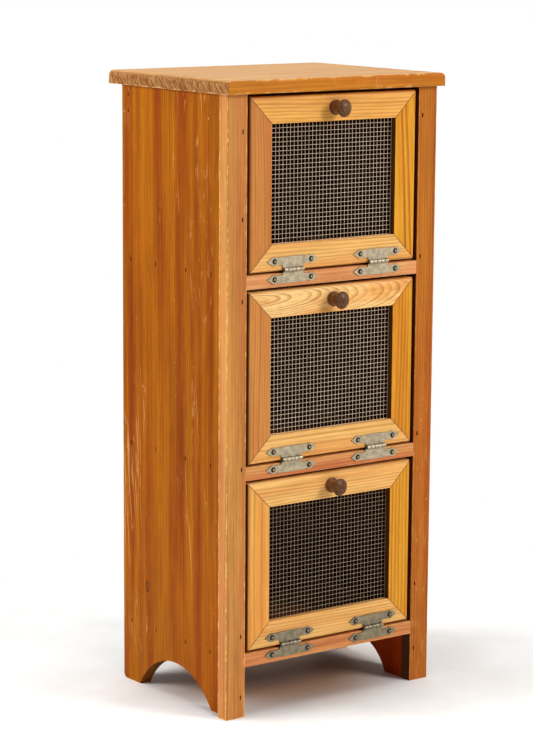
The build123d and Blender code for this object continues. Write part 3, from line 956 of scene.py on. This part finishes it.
def new_object(name: str, data: bpy.types.ID) -> Object:
    """Puts a new object into the scene.

    Args:
        name: Its name.
        data: Its mesh, lamp or camera.

    Returns:
        The object.
    """
    made = bpy.data.objects.new(name, data)
    bpy.context.scene.collection.objects.link(made)
    return made


def mesh_object(name: str, shape: bmesh.types.BMesh) -> Object:
    """Turns a finished shape into an object in the scene.

    Args:
        name: The object's name, which its mesh gets too.
        shape: The shape, which is freed.

    Returns:
        The object.
    """
    data = bpy.data.meshes.new(name)
    shape.to_mesh(data)
    shape.free()
    return new_object(name, data)


def middle_and_half(*nodes: str) -> Box:
    """The middle and half size of the box round CAD nodes.

    Args:
        *nodes: The nodes' names.

    Returns:
        The middle, and half of the size.
    """
    boxes = [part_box(node) for node in nodes]
    low = Vector(min(box[0][i] for box in boxes) for i in range(3))
    high = Vector(max(box[1][i] for box in boxes) for i in range(3))
    return (low + high) / 2, (high - low) / 2


@dataclass
class Carcass:
    """The boards and hardware that stand still.

    Attributes:
        nodes: The CAD nodes.
        materials: The maker of materials.
        boards: Its boards.
    """

    nodes: dict[str, Object]
    materials: Materials
    boards: tuple[Board, ...] = CARCASS_BOARDS

    def build(self) -> list[str]:
        """Dresses every board and piece of hardware.

        Returns:
            The names of the pieces.
        """
        metal = self.materials.metal
        pewter = metal("frame_pewter", PEWTER)
        dark = metal("frame_pewter_dark", PEWTER_DARK)
        steel = metal("plain_steel", STEEL)
        brown = metal("catch_brown", CATCH_BROWN)
        looks = {board.node: self.materials.wood(board, middle_and_half(board.node))
                 for board in self.boards}
        for level in LEVELS:
            looks[level + "_hinge_frame_leaves"] = dark if level == "lower" else pewter
            looks[level + "_magnetic_catch"] = brown
        looks["hinge_pins"] = pewter
        looks["frame_screws"] = metal("frame_screw_metal", SCREW_METAL)
        looks["finishing_nails"] = metal("nail_metal", NAIL_METAL)
        looks["back_panel_nails"] = looks["top_board_screws"] = steel
        for node, material in looks.items():
            paint(self.nodes[node], material)
        return list(looks)


@dataclass
class Wire:
    """Draws slightly uneven round wires into one mesh.

    Attributes:
        mesh: The mesh to draw into.
        depth: The Y of the wires' middle.
        radius: The wires' radius.
        pitch: The distance between welds.
        sides: How many sides a wire's section has.
        weld: How many times as thick a wire is at a weld.
        drift_mm: How far a whole wire may be out of place.
        bend_mm: How far it may be bent at each step.
        bend_in: The share of a wire's length in which its bends grow in from an end.
    """

    mesh: bmesh.types.BMesh
    depth: float
    radius: float
    pitch: float
    sides: int = 8
    weld: float = 1.12
    drift_mm: float = 0.18
    bend_mm: float = 0.07
    bend_in: float = 0.125

    def draw(self, start: Vector, end: Vector, chance: random.Random) -> None:
        """Draws one wire, a little thicker and bent a hair at each weld.

        Args:
            start: One end, of which the Y isn't used.
            end: The other end.
            chance: Where the unevenness comes from.
        """
        run = end - start
        ahead = Vector((0, 1, 0))
        side = ahead.cross(run.normalized())
        steps = max(2, int(run.length / self.pitch) * 2)
        turns = [2 * math.pi * corner / self.sides for corner in range(self.sides)]
        rings = []
        drift = chance.uniform(-self.drift_mm, self.drift_mm) * MM
        for step in range(steps + 1):
            spot = start + run * (step / steps)
            spot.y = self.depth
            edge = min(step, steps - step) / steps
            bend = drift + chance.uniform(-self.bend_mm, self.bend_mm) * MM
            spot += side * (bend * min(1.0, edge / self.bend_in))
            size = self.radius * (1.0 if step % 2 else self.weld)
            rings.append([self.mesh.verts.new(
                spot + (side * math.cos(turn) + ahead * math.sin(turn)) * size) for turn in turns])
        for one, two in zip(rings, rings[1:]):
            for corner in range(self.sides):
                following = (corner + 1) % self.sides
                self.mesh.faces.new((one[corner], one[following], two[following], two[corner]))
        self.mesh.faces.new(list(reversed(rings[0])))
        self.mesh.faces.new(rings[-1])


@dataclass
class Doors:
    """The three doors, with the fine wire mesh in place of its stand-in.

    Attributes:
        nodes: The CAD nodes.
        materials: The maker of materials.
        looks: How each door looks.
        cell: The pitch of the wire cloth.
        wire_radius: The radius of its wires.
        upright_depth: The depth of the upright wires' middle behind the front, in radii.
    """

    nodes: dict[str, Object]
    materials: Materials
    looks: tuple[DoorLook, ...] = DOOR_LOOKS
    cell: float = 6.35 * MM
    wire_radius: float = 0.24 * MM
    upright_depth: float = 2.4

    def build(self) -> list[str]:
        """Dresses every door.

        Returns:
            The names of the pieces.
        """
        metal = self.materials.metal
        screw = metal("door_screw_metal", SCREW_METAL)
        steel = metal("door_steel", STEEL)
        pieces = []
        for look in self.looks:
            door = look.level + "_door_"
            looks = self._members(look)
            knob = Board(door + "knob", Grain.Y, KNOB_CUT)
            looks[knob.node] = self.materials.wood(knob, middle_and_half(knob.node))
            looks[door + "hinge_leaves"] = metal(door + "pewter", look.leaves)
            looks[door + "screws"] = screw
            for name in ("mesh_staples", "knob_screw", "strike_plate"):
                looks[door + name] = steel
            for node, material in looks.items():
                paint(self.nodes[node], material)
            cloth = self._cloth(look.level, metal(look.level + "_wire_metal", look.wire))
            pieces += [*looks, cloth.name]
        return pieces

    def _members(self, look: DoorLook) -> dict[str, Material]:
        """Makes the wood of the four mitred members of one door.

        Args:
            look: How the door looks.

        Returns:
            Each member's node and its material.
        """
        names = [f"{look.level}_door_{member}" for member in DOOR_MEMBERS]
        frame = middle_and_half(names[0], names[2])
        made = {}
        for name, cut in zip(names, look.members):
            grain = Grain.X if name.endswith("rail") else Grain.Z
            made[name] = self.materials.wood(Board(name, grain, cut), middle_and_half(name), frame)
        return made

    def _cloth(self, level: str, material: Material) -> Object:
        """Builds the welded cloth of one door, wire by wire, in the room of its flat stand-in.

        Args:
            level: The door's level.
            material: The wire's material.

        Returns:
            The new piece.
        """
        node = level + "_door_mesh"
        low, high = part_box(node)
        middle = (low + high) / 2
        chance = random.Random(node)
        shape = bmesh.new()
        across = Wire(shape, low.y + self.wire_radius, self.wire_radius, self.cell)
        up = replace(across, depth=low.y + self.upright_depth * self.wire_radius)
        half_columns = int((high.x - middle.x) / self.cell)
        half_rows = int((high.z - middle.z) / self.cell)
        for column in range(-half_columns, half_columns + 1):
            x = middle.x + column * self.cell
            up.draw(Vector((x, 0, low.z)), Vector((x, 0, high.z)), chance)
        for row in range(-half_rows, half_rows + 1):
            z = middle.z + row * self.cell
            across.draw(Vector((low.x, 0, z)), Vector((high.x, 0, z)), chance)
        piece = mesh_object(level + "_door_wire_cloth", shape)
        for polygon in piece.data.polygons:
            polygon.use_smooth = True
        paint(piece, material)
        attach(piece, level + "_door")
        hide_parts(node)
        return piece


@dataclass
class Studio:
    """The camera, the lamps, the floor and the white room.

    Attributes:
        materials: The maker of materials.
        camera_place: Where the camera stands.
        azimuth: Its heading in degrees, from +Y towards +X.
        elevation: How far it looks down, in degrees.
        roll: Its roll in degrees.
        lens_mm: Its focal length.
        sensor_mm: Its sensor's width.
        view_end: How far it sees.
        aim: The point that the lamps point at.
        lamps: The lamps.
        floor_reach: Half of the floor's side.
        floor_fade: Where the floor starts to fade to white, and where it is white.
        room_light: The white room's strength as light.
    """

    materials: Materials
    camera_place: Place = (-2.1502, -2.90515, 1.1087)
    azimuth: float = 36.245
    elevation: float = 10.317
    roll: float = 0.371
    lens_mm: float = 170.78
    sensor_mm: float = 36.0
    view_end: float = 50.0
    aim: Place = (0.0, 0.0, 0.45)
    lamps: tuple[Lamp, ...] = LAMPS
    floor_reach: float = 6.0
    floor_fade: tuple[float, float] = (0.3, 0.7)
    room_light: float = 0.22

    def build(self) -> list[str]:
        """Sets up everything round the object.

        Returns:
            The names of what was set up.
        """
        made = [self._camera(), self._floor(), *(self._lamp(lamp) for lamp in self.lamps)]
        self._room()
        bpy.context.scene.view_settings.view_transform = "Standard"
        return [obj.name for obj in made]

    def _camera(self) -> Object:
        """Places the camera at the photograph's viewing angle.

        Returns:
            The camera.
        """
        data = bpy.data.cameras.new("camera")
        data.lens = self.lens_mm
        data.sensor_width = self.sensor_mm
        data.sensor_fit = "HORIZONTAL"
        data.clip_end = self.view_end
        camera = new_object("camera", data)
        azimuth, elevation = math.radians(self.azimuth), math.radians(self.elevation)
        look = Vector((math.sin(azimuth) * math.cos(elevation),
                       math.cos(azimuth) * math.cos(elevation), -math.sin(elevation)))
        roll = Quaternion(-look, math.radians(self.roll))
        camera.rotation_mode = "QUATERNION"
        camera.rotation_quaternion = roll @ look.to_track_quat("-Z", "Y")
        camera.location = self.camera_place
        bpy.context.scene.camera = camera
        return camera

    def _floor(self) -> Object:
        """Lays a plain floor under the object.

        Returns:
            The floor.
        """
        shape = bmesh.new()
        bmesh.ops.create_grid(shape, x_segments=8, y_segments=8, size=self.floor_reach)
        floor = mesh_object("floor", shape)
        paint(floor, self.materials.floor(*self.floor_fade))
        return floor

    def _room(self) -> None:
        """Makes a room that is white where it is seen, and a softer white as light."""
        world = bpy.data.worlds.new("white_room")
        bpy.context.scene.world = world
        world.use_nodes = True
        graph = Graph(world.node_tree)
        strength = graph.shows_backdrop().times_plus(1.0 - self.room_light, self.room_light)
        graph.feed(world.node_tree.nodes["Background"],
                   {"Strength": strength, "Color": (1.0, 1.0, 1.0)})

    def _lamp(self, lamp: Lamp) -> Object:
        """Hangs one lamp.

        Args:
            lamp: The lamp.

        Returns:
            The light.
        """
        data = bpy.data.lights.new(lamp.name, "AREA")
        data.size = lamp.size
        data.energy = lamp.power
        light = new_object(lamp.name, data)
        light.location = lamp.place
        light.rotation_mode = "QUATERNION"
        aim = Vector(self.aim) - Vector(lamp.place)
        light.rotation_quaternion = aim.to_track_quat("-Z", "Y")
        return light


def main() -> None:
    """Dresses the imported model, class by class, and reports each piece."""
    logging.basicConfig(level=logging.INFO, format="%(name)s: %(message)s")
    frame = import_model()
    materials = Materials(Effects())
    nodes = frame["nodes"]
    for part in (Carcass(nodes, materials), Doors(nodes, materials), Studio(materials)):
        for piece in part.build():
            LOG.info("%s: %s", type(part).__name__, piece)


if __name__ == "__main__":
    main()
